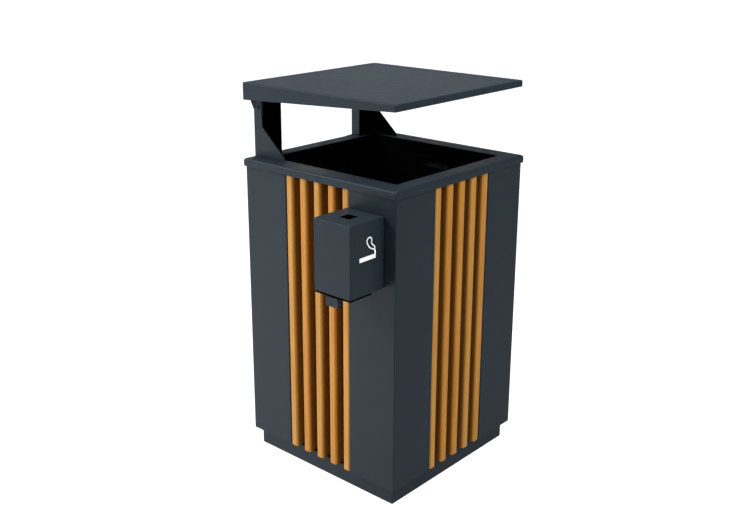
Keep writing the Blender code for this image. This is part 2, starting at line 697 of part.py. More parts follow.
def ash_flap(flap_pivot):
    """The hinged front of the bottom: a shallow tray with a knuckle at each side."""
    outer, near = ASH_OUTER + FLAP_INSET, FLAP_AXIS_X - FLAP_KNUCKLE - 0.6 * MM
    half = ASH_HALF_Y - FLAP_INSET
    top = ASH_BOTTOM - GAP
    floor = FLAP_BOTTOM + SHEET
    tray = block((outer, ASH_Y - half, FLAP_BOTTOM), (near, ASH_Y + half, top))
    part = hang(add_part("ash_flap", tray, BLACK), flap_pivot)
    boolean(part, block((outer + SHEET, ASH_Y - half + SHEET, floor),
                        (near + THROUGH, ASH_Y + half - SHEET, top + THROUGH)))
    root = near - FLAP_ARM
    arm = [(root, FLAP_BOTTOM + 0.4 * MM)]
    arm += arc((FLAP_AXIS_X, FLAP_AXIS_Z), FLAP_KNUCKLE, 270, 90 + 360, 8)
    arm += [(root, floor - 0.3 * MM)]
    for side in (-1, 1):
        ends = sorted(ASH_Y + side * reach for reach in (FLAP_KNUCKLE_HALF + GAP, FLAP_ARM_END))
        boolean(part, plate(arm, "xz", *ends), "UNION")
    boolean(part, flap_hole(FLAP_ARM_END + THROUGH))


def ash_lug(flap_pivot):
    """The pull lug: a cap under the flap's outer edge, open below, with a cross hole for a padlock."""
    face, end = ASH_OUTER - 1 * MM, ASH_OUTER - 1 * MM + LUG_DEPTH
    low, high = ASH_Y - LUG_HALF, ASH_Y + LUG_HALF
    top = FLAP_BOTTOM - GAP
    part = add_part("ash_flap_lug", block((face, low, LUG_BOTTOM), (end, high, top)), PAINTED)
    hang(part, flap_pivot)
    boolean(part, block((face + SHEET, low + SHEET, LUG_BOTTOM - THROUGH),
                        (end - SHEET, high - SHEET, top - SHEET)))
    boolean(part, rod("y", ((face + end) / 2, 0, LUG_HOLE_Z), LUG_HOLE_RADIUS, low - THROUGH,
                      high + THROUGH, 12))


def build():
    lid = pivot("lid_axis", (0, HINGE_Y, HINGE_Z))
    cam_pivot = pivot("lock_axis", (0, -OPENING_HALF_Y, LOCK_Z))
    flap_pivot = pivot("ash_flap_axis", (FLAP_AXIS_X, ASH_Y, FLAP_AXIS_Z))
    base_plate()
    plinth_frame()
    slat_frames()
    panels = corner_panels()
    slats()
    liner()
    lid_buffers()
    rim_frame(lid)
    for label, side in (("left", -1), ("right", 1)):
        canopy_post(f"canopy_post_{label}", side, lid)
        canopy_gusset(f"canopy_gusset_{label}", side, lid)
        canopy_bracket(f"canopy_bracket_{label}", side, lid)
    canopy(lid)
    canopy_stiffener(lid)
    hinges(lid)
    lock(lid, cam_pivot)
    lock_keeper()
    ash_mounting(ash_housing(), panels["front_left"])
    ash_floor()
    ash_flap(flap_pivot)
    ash_lug(flap_pivot)


build()
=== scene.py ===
# Looks of the street litter bin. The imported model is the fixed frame, and each piece made here rides on one
# of its bodies. A piece stands for one node, or is a fastener, a weld bead or part of the smoking sign.
import json
import random
from math import cos, pi, radians, sin

import bmesh
import bpy
from mathutils import Matrix, Vector

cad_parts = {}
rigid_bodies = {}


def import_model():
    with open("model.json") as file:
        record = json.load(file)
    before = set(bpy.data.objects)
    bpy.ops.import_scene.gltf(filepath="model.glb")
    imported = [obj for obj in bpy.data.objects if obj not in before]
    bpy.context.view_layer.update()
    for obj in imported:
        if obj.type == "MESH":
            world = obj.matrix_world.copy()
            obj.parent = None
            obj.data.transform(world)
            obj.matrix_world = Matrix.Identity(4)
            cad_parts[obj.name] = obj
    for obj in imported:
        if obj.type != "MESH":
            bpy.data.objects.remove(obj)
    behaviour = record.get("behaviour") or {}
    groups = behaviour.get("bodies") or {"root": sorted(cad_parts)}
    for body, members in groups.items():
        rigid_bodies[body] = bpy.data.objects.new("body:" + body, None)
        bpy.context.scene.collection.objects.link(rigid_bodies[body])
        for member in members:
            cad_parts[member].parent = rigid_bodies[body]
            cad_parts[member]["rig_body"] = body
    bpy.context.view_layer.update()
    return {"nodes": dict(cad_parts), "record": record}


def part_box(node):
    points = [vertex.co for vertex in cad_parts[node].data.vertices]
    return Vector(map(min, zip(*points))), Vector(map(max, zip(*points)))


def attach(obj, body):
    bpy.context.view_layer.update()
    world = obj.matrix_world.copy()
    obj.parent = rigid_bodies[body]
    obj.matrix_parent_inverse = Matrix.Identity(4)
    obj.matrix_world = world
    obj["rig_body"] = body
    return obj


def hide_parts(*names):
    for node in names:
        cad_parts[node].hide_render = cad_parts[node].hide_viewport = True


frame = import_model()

MM = 0.001
WELD = 0.01 * MM                     # points closer than this are one
HAIR = 0.05 * MM                     # how far a head sinks into its face, and the film stands off it
FILM_GLOW = 0.35                     # painted light: the film glows a little, so that it is brighter than white paint
FLOOR_GLOW = 0.28                    # the floor's light on the bin
FLOOR_GLOW_SEEN = 1.0                # the floor's light as the camera sees it
SKY = 0.20                           # even light from above the horizon
SIDES = (("left", -1), ("right", 1))
NODES = frame["nodes"]
SLOT_OF = {part["node"]: part["material_slot"] for part in frame["record"]["subparts"]}
random.seed(7)


# Shading

def new_material(name):
    material = bpy.data.materials.new(name)
    material.use_nodes = True
    return material, material.node_tree, material.node_tree.nodes["Principled BSDF"]


def node(tree, kind, inputs=None, **settings):
    """A shader node. inputs maps a socket's name or number to a value, or to a socket to link."""
    made = tree.nodes.new(kind)
    for key, value in settings.items():
        setattr(made, key, value)
    for key, value in (inputs or {}).items():
        if isinstance(value, bpy.types.NodeSocket):
            tree.links.new(value, made.inputs[key])
        else:
            made.inputs[key].default_value = value
    return made


def span(tree, value, low, high, start=0.3, end=0.7):
    """Turn a value between start and end into one between low and high."""
    made = node(tree, "ShaderNodeMapRange", {"Value": value, "From Min": start, "From Max": end,
                                             "To Min": low, "To Max": high})
    return made.outputs[0]


def mix(tree, share, first, second):
    """A blend of two colours, each of which may be a socket."""
    first, second = [c if isinstance(c, bpy.types.NodeSocket) else (*c, 1) for c in (first, second)]
    made = node(tree, "ShaderNodeMix", {0: share, 6: first, 7: second}, data_type="RGBA")
    return made.outputs[2]


def ramp(tree, value, low, high, start=0.3, end=0.7):
    """Turn a value between start and end into one between two colours."""
    return mix(tree, span(tree, value, 0, 1, start, end), low, high)


def object_point(tree, stretch=(1, 1, 1), offset=None):
    """Object coordinates, stretched, with an offset that may be a socket."""
    point = node(tree, "ShaderNodeTexCoord").outputs["Object"]
    mapping = node(tree, "ShaderNodeMapping", {"Vector": point, "Scale": stretch})
    if offset is not None:
        tree.links.new(offset, mapping.inputs["Location"])
    return mapping.outputs[0]


def noise(tree, point, scale, detail=2.0, rough=0.5, distortion=0.0):
    made = node(tree, "ShaderNodeTexNoise", {"Vector": point, "Scale": scale, "Detail": detail,
                                             "Roughness": rough, "Distortion": distortion})
    return made.outputs["Fac"]


def bump(tree, height, distance, strength=1.0, normal=None):
    made = node(tree, "ShaderNodeBump", {"Height": height, "Distance": distance, "Strength": strength})
    if normal is not None:
        tree.links.new(normal, made.inputs["Normal"])
    return made.outputs[0]


def finish_shader(tree, shader, colour, roughness, surface):
    """Link the three sockets that every finish varies over its surface."""
    tree.links.new(colour, shader.inputs["Base Color"])
    tree.links.new(roughness, shader.inputs["Roughness"])
    tree.links.new(surface, shader.inputs["Normal"])


def powder_coat(name, low, high, rough, gloss):
    """Polyester powder on steel: a fine grain over a slow orange peel, almost one colour."""
    material, tree, shader = new_material(name)
    point = object_point(tree)
    cloud = noise(tree, point, 7, 3)
    grain = noise(tree, point, 1700, 2, 0.6)
    peel = noise(tree, point, 260, 2)
    roughness = span(tree, noise(tree, point, 60, 3), rough - 0.02, rough + 0.02)
    surface = bump(tree, grain, 0.03 * MM, 0.35, bump(tree, peel, 0.03 * MM, 0.15))
    finish_shader(tree, shader, ramp(tree, cloud, low, high), roughness, surface)
    shader.inputs["Specular IOR Level"].default_value = gloss
    return material


def timber():
    """Oiled hardwood with straight grain along Z, with painted shade in the gaps between the boards.

    The mesh attribute 'board' sets each slat apart, and 'depth' is the distance in from its front face.
    """
    material, tree, shader = new_material("oiled_timber")
    board = node(tree, "ShaderNodeAttribute", attribute_name="board").outputs["Fac"]
    depth = node(tree, "ShaderNodeAttribute", attribute_name="depth").outputs["Fac"]
    shift = node(tree, "ShaderNodeCombineXYZ", {"X": board, "Y": board, "Z": board}).outputs[0]
    grain = noise(tree, object_point(tree, (1, 1, 0.035), shift), 150, 4, 0.55, 0.6)
    streak = noise(tree, object_point(tree, (1, 1, 0.02), shift), 420, 3, 0.6)
    pores = noise(tree, object_point(tree, (1, 1, 0.03), shift), 2600, 2, 0.6)
    flame = noise(tree, object_point(tree, (1, 1, 0.12), shift), 26, 3, 0.5, 1.2)
    tone = node(tree, "ShaderNodeMath", {0: board, 1: 1.0}, operation="FRACT").outputs[0]
    golden = ramp(tree, tone, (0.70, 0.305, 0.041), (0.70, 0.345, 0.062), 0.1, 0.9)
    deep = ramp(tree, tone, (0.55, 0.208, 0.023), (0.56, 0.236, 0.034), 0.1, 0.9)
    colour = mix(tree, span(tree, grain, 0, 0.75, 0.42, 0.70), golden, deep)
    colour = mix(tree, span(tree, flame, 0, 0.35, 0.5, 0.75), colour, (0.60, 0.23, 0.048))
    colour = mix(tree, span(tree, streak, 0.30, 0, 0.30, 0.46), colour, (0.36, 0.13, 0.026))
    colour = mix(tree, span(tree, pores, 0.35, 0, 0.30, 0.42), colour, (0.19, 0.07, 0.017))
    # painted shade: a board's sides darken with depth in from its front face, where its neighbours shade them
    colour = mix(tree, span(tree, depth, 0, 0.8, 4 * MM, 9 * MM), colour, (0.210, 0.076, 0.0090))
    surface = bump(tree, pores, 0.12 * MM, 0.5, bump(tree, streak, 0.25 * MM, 0.4))
    finish_shader(tree, shader, colour, span(tree, grain, 0.42, 0.58), surface)
    shader.inputs["Specular IOR Level"].default_value = 0.3
    return material


def zinc():
    """Zinc-plated steel, dull and slightly mottled."""
    material, tree, shader = new_material("zinc_plated_steel")
    point = object_point(tree)
    colour = ramp(tree, noise(tree, point, 420, 3), (0.30, 0.31, 0.32), (0.45, 0.46, 0.48))
    roughness = span(tree, noise(tree, point, 900), 0.38, 0.54)
    finish_shader(tree, shader, colour, roughness, bump(tree, noise(tree, point, 2400), 0.02 * MM, 0.4))
    shader.inputs["Metallic"].default_value = 1.0
    return material


def rubber():
    material, tree, shader = new_material("black_rubber")
    point = object_point(tree)
    colour = ramp(tree, noise(tree, point, 200, 3), (0.010, 0.010, 0.011), (0.020, 0.020, 0.021))
    roughness = span(tree, noise(tree, point, 500), 0.7, 0.9)
    finish_shader(tree, shader, colour, roughness, bump(tree, noise(tree, point, 1500), 0.05 * MM, 0.5))
    shader.inputs["Specular IOR Level"].default_value = 0.25
    return material


def vinyl():
    """The white film of the sign, which glows a little as painted light."""
    material, tree, shader = new_material("white_film")
    point = object_point(tree)
    colour = ramp(tree, noise(tree, point, 300, 3), (0.90, 0.91, 0.92), (0.94, 0.95, 0.96))
    roughness = span(tree, noise(tree, point, 700), 0.30, 0.42)
    finish_shader(tree, shader, colour, roughness, bump(tree, noise(tree, point, 1200), 0.02 * MM, 0.3))
    # painted light: the film glows a little
    shader.inputs["Emission Color"].default_value = (1, 1, 1, 1)
    shader.inputs["Emission Strength"].default_value = FILM_GLOW
    return material


COAT = powder_coat("anthracite_coat", (0.0195, 0.0310, 0.0420), (0.0215, 0.0335, 0.0450), 0.44, 0.14)
# black coat for the black parts, and painted shade inside the rim's lip, the canopy posts and the ash box
BLACK_AND_PAINTED_SHADE = powder_coat("black_coat", (0.0006, 0.0006, 0.0008), (0.0009, 0.0009, 0.0012), 0.65, 0.03)
MATERIALS = {"anthracite_coat": COAT, "black_coat": BLACK_AND_PAINTED_SHADE, "timber": timber(), "zinc_steel": zinc(),
             "rubber": rubber()}
FILM = vinyl()


# Shapes

def arc(centre, radius, start, end, steps):
    """Points on an arc, angles in degrees."""
    turns = [radians(start + (end - start) * i / steps) for i in range(steps + 1)]
    return [(centre[0] + radius * cos(t), centre[1] + radius * sin(t)) for t in turns]


def mesh_from(bm, name):
    mesh = bpy.data.meshes.new(name)
    bm.to_mesh(mesh)
    bm.free()
    return mesh


def loft(loops, close=False, cap_first=False, cap_last=False, second=()):
    """Faces between loops of equal length. Rows named in second take the piece's second material."""
    bm = bmesh.new()
    rows = [[bm.verts.new(point) for point in loop] for loop in loops]
    pairs = list(zip(rows, rows[1:]))
    if close:
        pairs.append((rows[-1], rows[0]))
    for number, (lower, upper) in enumerate(pairs):
        for i in range(len(lower)):
            j = (i + 1) % len(lower)
            face = bm.faces.new((lower[i], lower[j], upper[j], upper[i]))
            face.material_index = 1 if number in second else 0
    if cap_first:
        bm.faces.new(reversed(rows[0]))
    if cap_last:
        bm.faces.new(rows[-1])
    if close or (cap_first and cap_last):
        bmesh.ops.recalc_face_normals(bm, faces=bm.faces)
    return mesh_from(bm, "loft")


def rectangle_loop(half_x, half_y, radius, height, centre=(0, 0)):
    """A rounded rectangle, anticlockwise from its +X +Y corner. height is a number or f(x, y)."""
    points = []
    for sign_x, sign_y, first in ((1, 1, 0), (-1, 1, 90), (-1, -1, 180), (1, -1, 270)):
        middle = (centre[0] + sign_x * (half_x - radius), centre[1] + sign_y * (half_y - radius))
        points += arc(middle, radius, first, first + 90, 6)
    level = height if callable(height) else lambda x, y: height
    return [Vector((x, y, level(x, y))) for x, y in points]


def piece(name, mesh, body, materials, stands_for=(), place=None):
    """A visible piece on a CAD body."""
    made = bpy.data.objects.new(name, mesh)
    bpy.context.scene.collection.objects.link(made)
    for material in materials:
        mesh.materials.append(material)
    if place is not None:
        made.matrix_world = place
    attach(made, body)
    if stands_for:
        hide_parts(*stands_for)
    return made


def skin(node_name, mesh, *more, place=None):
    """A piece that stands for one node, in that node's finish and any more materials."""
    slot = SLOT_OF[node_name]
    return piece(f"{node_name}_skin", mesh, NODES[node_name]["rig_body"], (MATERIALS[slot], *more),
                 (node_name,), place)


def soften(made, radius, segments=2, limit=32):
    """Round every edge sharper than the limit, and shade so that flat faces stay flat."""
    made.data.shade_smooth()
    if radius:
        bevel = made.modifiers.new("Edges", "BEVEL")
        bevel.width = radius
        bevel.segments = segments
        bevel.limit_method = "ANGLE"
        bevel.angle_limit = radians(limit)
    made.modifiers.new("Normals", "WEIGHTED_NORMAL").keep_sharp = True
    return made


def sheet(made, thickness, inner_material=0):
    """Thickness for an open surface, away from its normals."""
    solid = made.modifiers.new("Sheet", "SOLIDIFY")
    solid.thickness = thickness
    solid.offset = -1
    solid.use_even_offset = True
    solid.material_offset = inner_material
    return made


def cut(made, tool_mesh):
    """Cut a mesh away from a piece, for good."""
    tool = bpy.data.objects.new("tool", tool_mesh)
    bpy.context.scene.collection.objects.link(tool)
    tool.matrix_world = made.matrix_world.copy()
    modifier = made.modifiers.new("Cut", "BOOLEAN")
    modifier.object = tool
    modifier.solver = "EXACT"
    bpy.context.view_layer.update()
    result = bpy.data.meshes.new_from_object(made.evaluated_get(bpy.context.evaluated_depsgraph_get()))
    made.modifiers.clear()
    made.data = result
    bpy.data.objects.remove(tool)


def box_mesh(low, high):
    low, high = Vector(low), Vector(high)
    place = Matrix.Translation((low + high) / 2) @ Matrix.Diagonal((*(high - low), 1))
    bm = bmesh.new()
    bmesh.ops.create_cube(bm, size=1, matrix=place)
    return mesh_from(bm, "box")


def facing(point, direction):
    """The placement that turns +Z along a direction."""
    return Matrix.Translation(point) @ Vector(direction).to_track_quat("Z", "Y").to_matrix().to_4x4()


def rod_mesh(point, direction, radius, length):
    bm = bmesh.new()
    bmesh.ops.create_cone(bm, cap_ends=True, segments=32, radius1=radius, radius2=radius, depth=length,
                          matrix=facing(point, direction))
    return mesh_from(bm, "rod")


def cad_copy(node_name):
    """A clean copy of a node's mesh, with one vertex at each corner and its flat faces whole."""
    source = NODES[node_name].data
    mesh = bpy.data.meshes.new(node_name)
    mesh.from_pydata([v.co[:] for v in source.vertices], [], [tuple(p.vertices) for p in source.polygons])
    bm = bmesh.new()
    bm.from_mesh(mesh)
    bpy.data.meshes.remove(mesh)
    bmesh.ops.remove_doubles(bm, verts=bm.verts, dist=WELD)
    bmesh.ops.dissolve_limit(bm, angle_limit=radians(1), verts=bm.verts, edges=bm.edges)
    return mesh_from(bm, node_name)


def quarter_turn(count):
    return Matrix.Rotation(count * pi / 2, 4, "Z")


# Body

def slats():
    """Twenty boards, each with its own grain, two well-rounded front edges and eased ends."""
    low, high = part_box("slat_front_1")
    next_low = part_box("slat_front_2")[0]
    width, front, back = high.x - low.x, low.y, high.y
    pitch, half = next_low.x - low.x, width / 2
    front_round, back_round, ease = 5 * MM, 0.8 * MM, 0.8 * MM
    shade_depths = (7 * MM, 9 * MM)       # rows on the sides, so that the painted shade in the gaps can change between them

    def section(inset, height):
        side, rear = half - inset, back - inset
        points = arc((front_round - half, front + front_round), front_round - inset, 180, 270, 6)
        points += arc((half - front_round, front + front_round), front_round - inset, 270, 360, 6)
        points += [(side, front + d) for d in shade_depths]
        points += [(side, rear - back_round), (side - back_round, rear)]
        points += [(back_round - side, rear), (-side, rear - back_round)]
        points += [(-side, front + d) for d in reversed(shade_depths)]
        return [Vector((x, y, height)) for x, y in points]

    midway = ease * 0.3                  # a row between the lower end and the side, so that the end is round
    rows = [section(ease, low.z), section(midway, low.z + midway), section(0, low.z + ease),
            section(0, high.z - ease), section(ease, high.z)]
    for i, side in enumerate(("front", "right", "rear", "left")):
        for j in range(5):
            mesh = loft(rows, cap_first=True, cap_last=True)
            board = mesh.attributes.new("board", "FLOAT", "POINT")
            board.data.foreach_set("value", [random.uniform(0, 40)] * len(mesh.vertices))
            depth = mesh.attributes.new("depth", "FLOAT", "POINT")
            depth.data.foreach_set("value", [vertex.co.y - front for vertex in mesh.vertices])
            place = quarter_turn(i) @ Matrix.Translation(((j - 2) * pitch, 0, 0))
            soften(skin(f"slat_{side}_{j + 1}", mesh, place=place), 0)


def corner_panels():
    """Folded corners with true bend radii."""
    low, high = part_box("corner_panel_rear_right")
    slat_low, slat_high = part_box("slat_rear_1")
    outer, edge = high.y, low.x
    flange = outer - (slat_high.y - slat_low.y)
    bend, wall = 2 * MM, 1.5 * MM
    path = [(edge, flange)]
    path += arc((edge + bend, outer - bend), bend, 180, 90, 6)
    path += arc((outer - bend, outer - bend), bend, 90, 0, 8)
    path += arc((outer - bend, edge + bend), bend, 0, -90, 6)
    path += [(flange, edge)]
    for i, corner in enumerate(("rear_right", "rear_left", "front_left", "front_right")):
        bm = bmesh.new()
        lower, upper = [[bm.verts.new((x, y, z)) for x, y in path] for z in (low.z, high.z)]
        for k in range(len(path) - 1):
            bm.faces.new((lower[k + 1], lower[k], upper[k], upper[k + 1]))
        made = skin(f"corner_panel_{corner}", mesh_from(bm, "panel"), place=quarter_turn(i))
        soften(sheet(made, wall), 0.3 * MM, limit=50)


def liner():
    """The black bucket: rounded corners, a curled rim and a hand hole on two sides."""
    low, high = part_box("liner")
    flange, floor = high.x, low.z
    top_half, bottom_half, corner, foot = 177 * MM, 172 * MM, 12 * MM, 8 * MM
    wall, curl = 1.5 * MM, 1.2 * MM

    def ring(half, z):
        return rectangle_loop(half, half, corner, z)

    loops = [ring(half, z) for half, z in arc((bottom_half - foot, floor + foot), foot, -90, 0, 6)]
    loops += [ring(top_half, high.z - wall), ring(top_half + curl, high.z), ring(flange - curl, high.z),
              ring(flange, high.z - curl)]
    made = sheet(skin("liner", loft(loops, cap_first=True)), wall)
    grip_half, grip_z, grip_round = 42 * MM, high.z - 15.8 * MM, 9 * MM
    outline = [Vector((0, y, z)) for y, z in arc((grip_half, grip_z), grip_round, -90, 90, 12)
               + arc((-grip_half, grip_z), grip_round, 90, 270, 12)]
    reach = Vector((top_half + 10 * MM, 0, 0))
    ends = [[point - reach for point in outline], [point + reach for point in outline]]
    cut(made, loft(ends, cap_first=True, cap_last=True))
    soften(made, 0.3 * MM, 1, 60)


# Lid

def rim_frame():
    """A folded ring: soft outer edge, short skirt, and an inner lip in black, painted shade in the opening.
    """
    low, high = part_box("rim_frame")
    outer, top = high.x, high.z
    open_x, open_y = 181 * MM, 188 * MM
    bend, wall, corner = 6 * MM, 1.5 * MM, 2 * MM
    edge, inner_edge = 0.4 * MM, 0.3 * MM
    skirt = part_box("slat_front_1")[1].z - 3 * MM

    def outside(inset, z):
        return rectangle_loop(outer - inset, outer - inset, corner, z)

    def inside(depth, z):
        return rectangle_loop(open_x + depth, open_y + depth, corner, z)

    loops = [outside(wall, skirt + inner_edge), outside(wall - edge, skirt), outside(edge, skirt),
             outside(0, skirt + edge)]
    loops += [outside(inset, z) for inset, z in arc((bend, top - bend), bend, 180, 90, 8)]
    # the inner lip's rows are black, painted shade
    lip_start = len(loops) + 3
    loops += [inside(depth, z) for depth, z in arc((wall, top - wall), wall, 90, 180, 4)]
    loops += [inside(0, low.z + edge), inside(edge, low.z), inside(wall, low.z)]
    lip_end = len(loops)
    loops += [inside(wall, top - wall), outside(bend, top - wall)]
    loops += [outside(inset, z) for inset, z in arc((bend, top - bend), bend - wall, 95, 180, 5)]
    made = skin("rim_frame", loft(loops, close=True, second=range(lip_start, lip_end)), BLACK_AND_PAINTED_SHADE)
    barrel_low, barrel_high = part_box("lock_barrel")
    centre = (barrel_low + barrel_high) / 2
    hole_radius, hole_length = 8.3 * MM, 40 * MM
    cut(made, rod_mesh((centre.x, barrel_low.y, centre.z), (0, 1, 0), hole_radius, hole_length))
    soften(made, 0)


def canopy_posts():
    """Folded channels with the outer wall spread into a gusset, black inside as painted shade."""
    clear = 1 * MM
    for label, side in SIDES:
        node_name = f"canopy_post_{label}"
        low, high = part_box(node_name)
        outer = side * max(abs(low.x), abs(high.x))
        inner = side * min(abs(low.x), abs(high.x))
        rear, toe, foot, top = high.y, low.y, low.z - 0.3 * MM, high.z
        front, toe_z, gusset_z = rear - 27 * MM, foot + 6.5 * MM, foot + 71 * MM
        gusset = ((rear, foot), (toe, foot), (toe, toe_z), (front, gusset_z), (front, top), (rear, top))
        bm = bmesh.new()
        wall = [bm.verts.new((outer, y, z)) for y, z in gusset]
        back = [bm.verts.new((inner, rear, z)) for z in (foot, top)]
        nose = [bm.verts.new((inner, front, z)) for z in (foot, top)]
        for face in (wall, (wall[5], back[1], back[0], wall[0]), (back[0], back[1], nose[1], nose[0])):
            bm.faces.new(tuple(reversed(face)) if side > 0 else face)
        bmesh.ops.recalc_face_normals(bm, faces=bm.faces)
        outer_wall = next(f for f in bm.faces if abs(f.calc_center_median().x - outer) < WELD)
        if outer_wall.normal.x * side < 0:
            bmesh.ops.reverse_faces(bm, faces=bm.faces)
        bends = [e for e in bm.edges if len(e.link_faces) == 2]
        bmesh.ops.bevel(bm, geom=bends, offset=2.5 * MM, segments=6, profile=0.5, affect="EDGES")
        tips = [v for v in bm.verts if abs(v.co.x - outer) < WELD and v.co.y < rear - clear
                and foot + clear < v.co.z < top - clear]
        bmesh.ops.bevel(bm, geom=tips, offset=3 * MM, segments=4, profile=0.5, affect="VERTICES")
        # the inside of the channel is black, painted shade
        made = skin(node_name, mesh_from(bm, node_name), BLACK_AND_PAINTED_SHADE)
        soften(sheet(made, 2 * MM, 1), 0.3 * MM, limit=50)


def post_welds():
    """The bead under each post's rear wall, where the wall stands over the rim's rounded edge."""
    bead = ((-4.5, -0.9), (-0.1, -3.0), (-0.1, 0.2), (-1.8, 0.2), (-3.0, 0.6))     # mm from the rear and foot
    end_gap = 0.5 * MM
    for label, _ in SIDES:
        low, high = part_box(f"canopy_post_{label}")
        ends = [[Vector((x, high.y + y * MM, low.z + z * MM)) for y, z in bead]
                for x in (low.x + end_gap, high.x - end_gap)]
        mesh = loft(ends, cap_first=True, cap_last=True)
        soften(piece(f"post_weld_{label}", mesh, "lid", (COAT,)), 0.3 * MM)


def canopy():
    """A shallow folded tray, deeper at the rear, with soft edges and welded corners."""
    low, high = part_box("canopy")
    middle = ((low.x + high.x) / 2, (low.y + high.y) / 2)
    half_x, half_y, top = (high.x - low.x) / 2, (high.y - low.y) / 2, high.z
    front_skirt, rear_skirt, bend, corner = 15 * MM, top - low.z, 3 * MM, 2.5 * MM

    def skirt(x, y):
        share = (y - low.y) / (high.y - low.y)
        return top - front_skirt - share * (rear_skirt - front_skirt)

    def section(inset, height):
        return rectangle_loop(half_x - inset, half_y - inset, corner - inset / 2, height, middle)

    loops = [section(0, skirt)]
    loops += [section(inset, z) for inset, z in arc((bend, top - bend), bend, 180, 90, 7)]
    made = sheet(skin("canopy", loft(loops, cap_last=True)), 2 * MM)
    soften(made, 0.4 * MM, limit=60)


# Ash box

def ash_housing():
    """A folded box with soft edges and a square stub hole with an eased edge, black inside as painted shade.
    """
    low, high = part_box("ash_box_housing")
    half_x, half_y = (high.x - low.x) / 2, (high.y - low.y) / 2
    centre = ((high.x + low.x) / 2, (high.y + low.y) / 2)
    top_round, side_round, wall = 3 * MM, 2 * MM, 1.5 * MM
    hole, below, above = 14.5 * MM, 10 * MM, 5 * MM

    def section(inset, height):
        return rectangle_loop(half_x - inset, half_y - inset, side_round, height, centre)

    loops = [section(0, low.z)]
    loops += [section(inset, z) for inset, z in arc((top_round, high.z - top_round), top_round, 180, 90, 8)]
    # the inside of the box is black, painted shade
    made = sheet(skin("ash_box_housing", loft(loops, cap_last=True), BLACK_AND_PAINTED_SHADE), wall, 1)
    cut(made, box_mesh((centre[0] - hole, centre[1] - hole, high.z - below),
                       (centre[0] + hole, centre[1] + hole, high.z + above)))
    soften(made, 0.35 * MM, limit=50)


def ribbon(points, width, thickness):
    """A flat strip of film along points in the XZ plane, with square ends. It is thick towards -Y."""
    corners = ((-1, 0), (1, 0), (1, -thickness), (-1, -thickness))
    rows = []
    for i, point in enumerate(points):
        ahead = points[min(i + 1, len(points) - 1)]
        behind = points[max(i - 1, 0)]
        along = (Vector(ahead) - Vector(behind)).normalized()
        across = Vector((-along.y, along.x)) * width / 2
        rows.append([Vector((point[0] + s * across.x, y, point[1] + s * across.y)) for s, y in corners])
    return loft(rows, cap_first=True, cap_last=True)


def smooth_step(value, start, end):
    """From 0 at start to 1 at end, level at both."""
    part = min(max((value - start) / (end - start), 0), 1)
    return part * part * (3 - 2 * part)


def smoking_sign():
    """A generic sign in white film on the side of the ash box: a cigarette under one plume of smoke."""
    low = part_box("ash_box_housing")[0]
    left, right, level = low.x + 27.5 * MM, low.x + 76.2 * MM, low.z + 78 * MM
    split, slit = right - 5.5 * MM, 0.6 * MM
    thick, line, film = 9 * MM, 2.4 * MM, 0.2 * MM
    foot, rise, round_top = level + 4.5 * MM, 38.5 * MM, 0.2

    def plume(t, side):
        """A point on one edge of the plume, from its foot (t = 0) to its round top (t = 1)."""
        half_mm = 0.4 + 6.6 * smooth_step(t, 0.22, 0.42)
        half_mm += 1.5 * smooth_step(t, 0.6, 0.8) - 1.2 * smooth_step(t, 0.45, 0.6)
        closing = max(0, (t - 1 + round_top) / round_top)
        half_width = half_mm * MM * (1 - closing ** 2) ** 0.5
        lean = 1.6 * MM + 17.5 * MM * smooth_step(t, 0.12, 0.72)
        return right - lean + side * half_width, foot + rise * t

    shares = [step / 32 for step in range(33)]
    smoke = [plume(t, -1) for t in shares] + [plume(t, 1) for t in reversed(shares)]
    place = Matrix.Translation((0, low.y - HAIR, 0))
    for name, points, width in (("sign_tobacco", [(left, level), (split - slit, level)], thick),
                                ("sign_tip", [(split, level), (right, level)], thick),
                                ("sign_smoke", smoke, line)):
        piece(name, ribbon(points, width, film), "bin_body", (FILM,), place=place)


# Fasteners

def hex_factor(angle):
    """How much further a hexagon reaches than its inscribed circle, at an angle."""
    return 1 / cos((angle + pi / 6) % (pi / 3) - pi / 6)


def head_mesh(profile, hexagons, steps=24):
    """A turned head from (radius, height) points, bottom first. Listed rows are hexagons."""
    turns = [2 * pi * i / steps for i in range(steps)]
    loops = []
    for number, (radius, height) in enumerate(profile):
        reach = [radius * (hex_factor(t) if number in hexagons else 1) for t in turns]
        loops.append([Vector((r * cos(t), r * sin(t), height)) for r, t in zip(reach, turns)])
    return loft(loops, cap_first=True, cap_last=True)


def button_head(radius, height):
    """A domed head with a hexagon socket."""
    edge, socket = 0.18, radius * 0.42
    turns = [radians(angle) for angle in (0, 18, 36, 54, 68)]
    dome = [(radius * cos(t), height * (edge + (1 - edge) * sin(t))) for t in turns]
    brim = [(socket * 1.08, height * 0.97)]
    well = [(socket, height * 0.9), (socket, height * 0.3)]
    first = 1 + len(dome) + len(brim)
    return head_mesh([(radius, 0), *dome, *brim, *well], hexagons=(first, first + 1))


def hexagon_head(across, height):
    """A hexagon nut or bolt head on its washer, chamfered at the top."""
    half = across / 2
    washer = [(half * 1.5, 0), (half * 1.5, height * 0.2), (half * 1.45, height * 0.25)]
    flats = [(half, height * 0.25), (half, height * 0.92)]
    top = [(half * 0.9, height), (half * 0.5, height), (half * 0.5, height * 0.85)]
    first = len(washer)
    return head_mesh([*washer, *flats, *top], hexagons=(first, first + 1))


def fasteners(name, body, head, places, slot="zinc_steel"):
    """Copies of one head, joined into one piece. Places are pairs of a point and a direction."""
    bm = bmesh.new()
    for point, direction in places:
        first = len(bm.verts)
        bm.from_mesh(head)
        bm.verts.ensure_lookup_table()
        sunk = Vector(point) - Vector(direction) * HAIR
        bmesh.ops.transform(bm, matrix=facing(sunk, direction), verts=bm.verts[first:])
    soften(piece(name, mesh_from(bm, name), body, (MATERIALS[slot],)), 0)


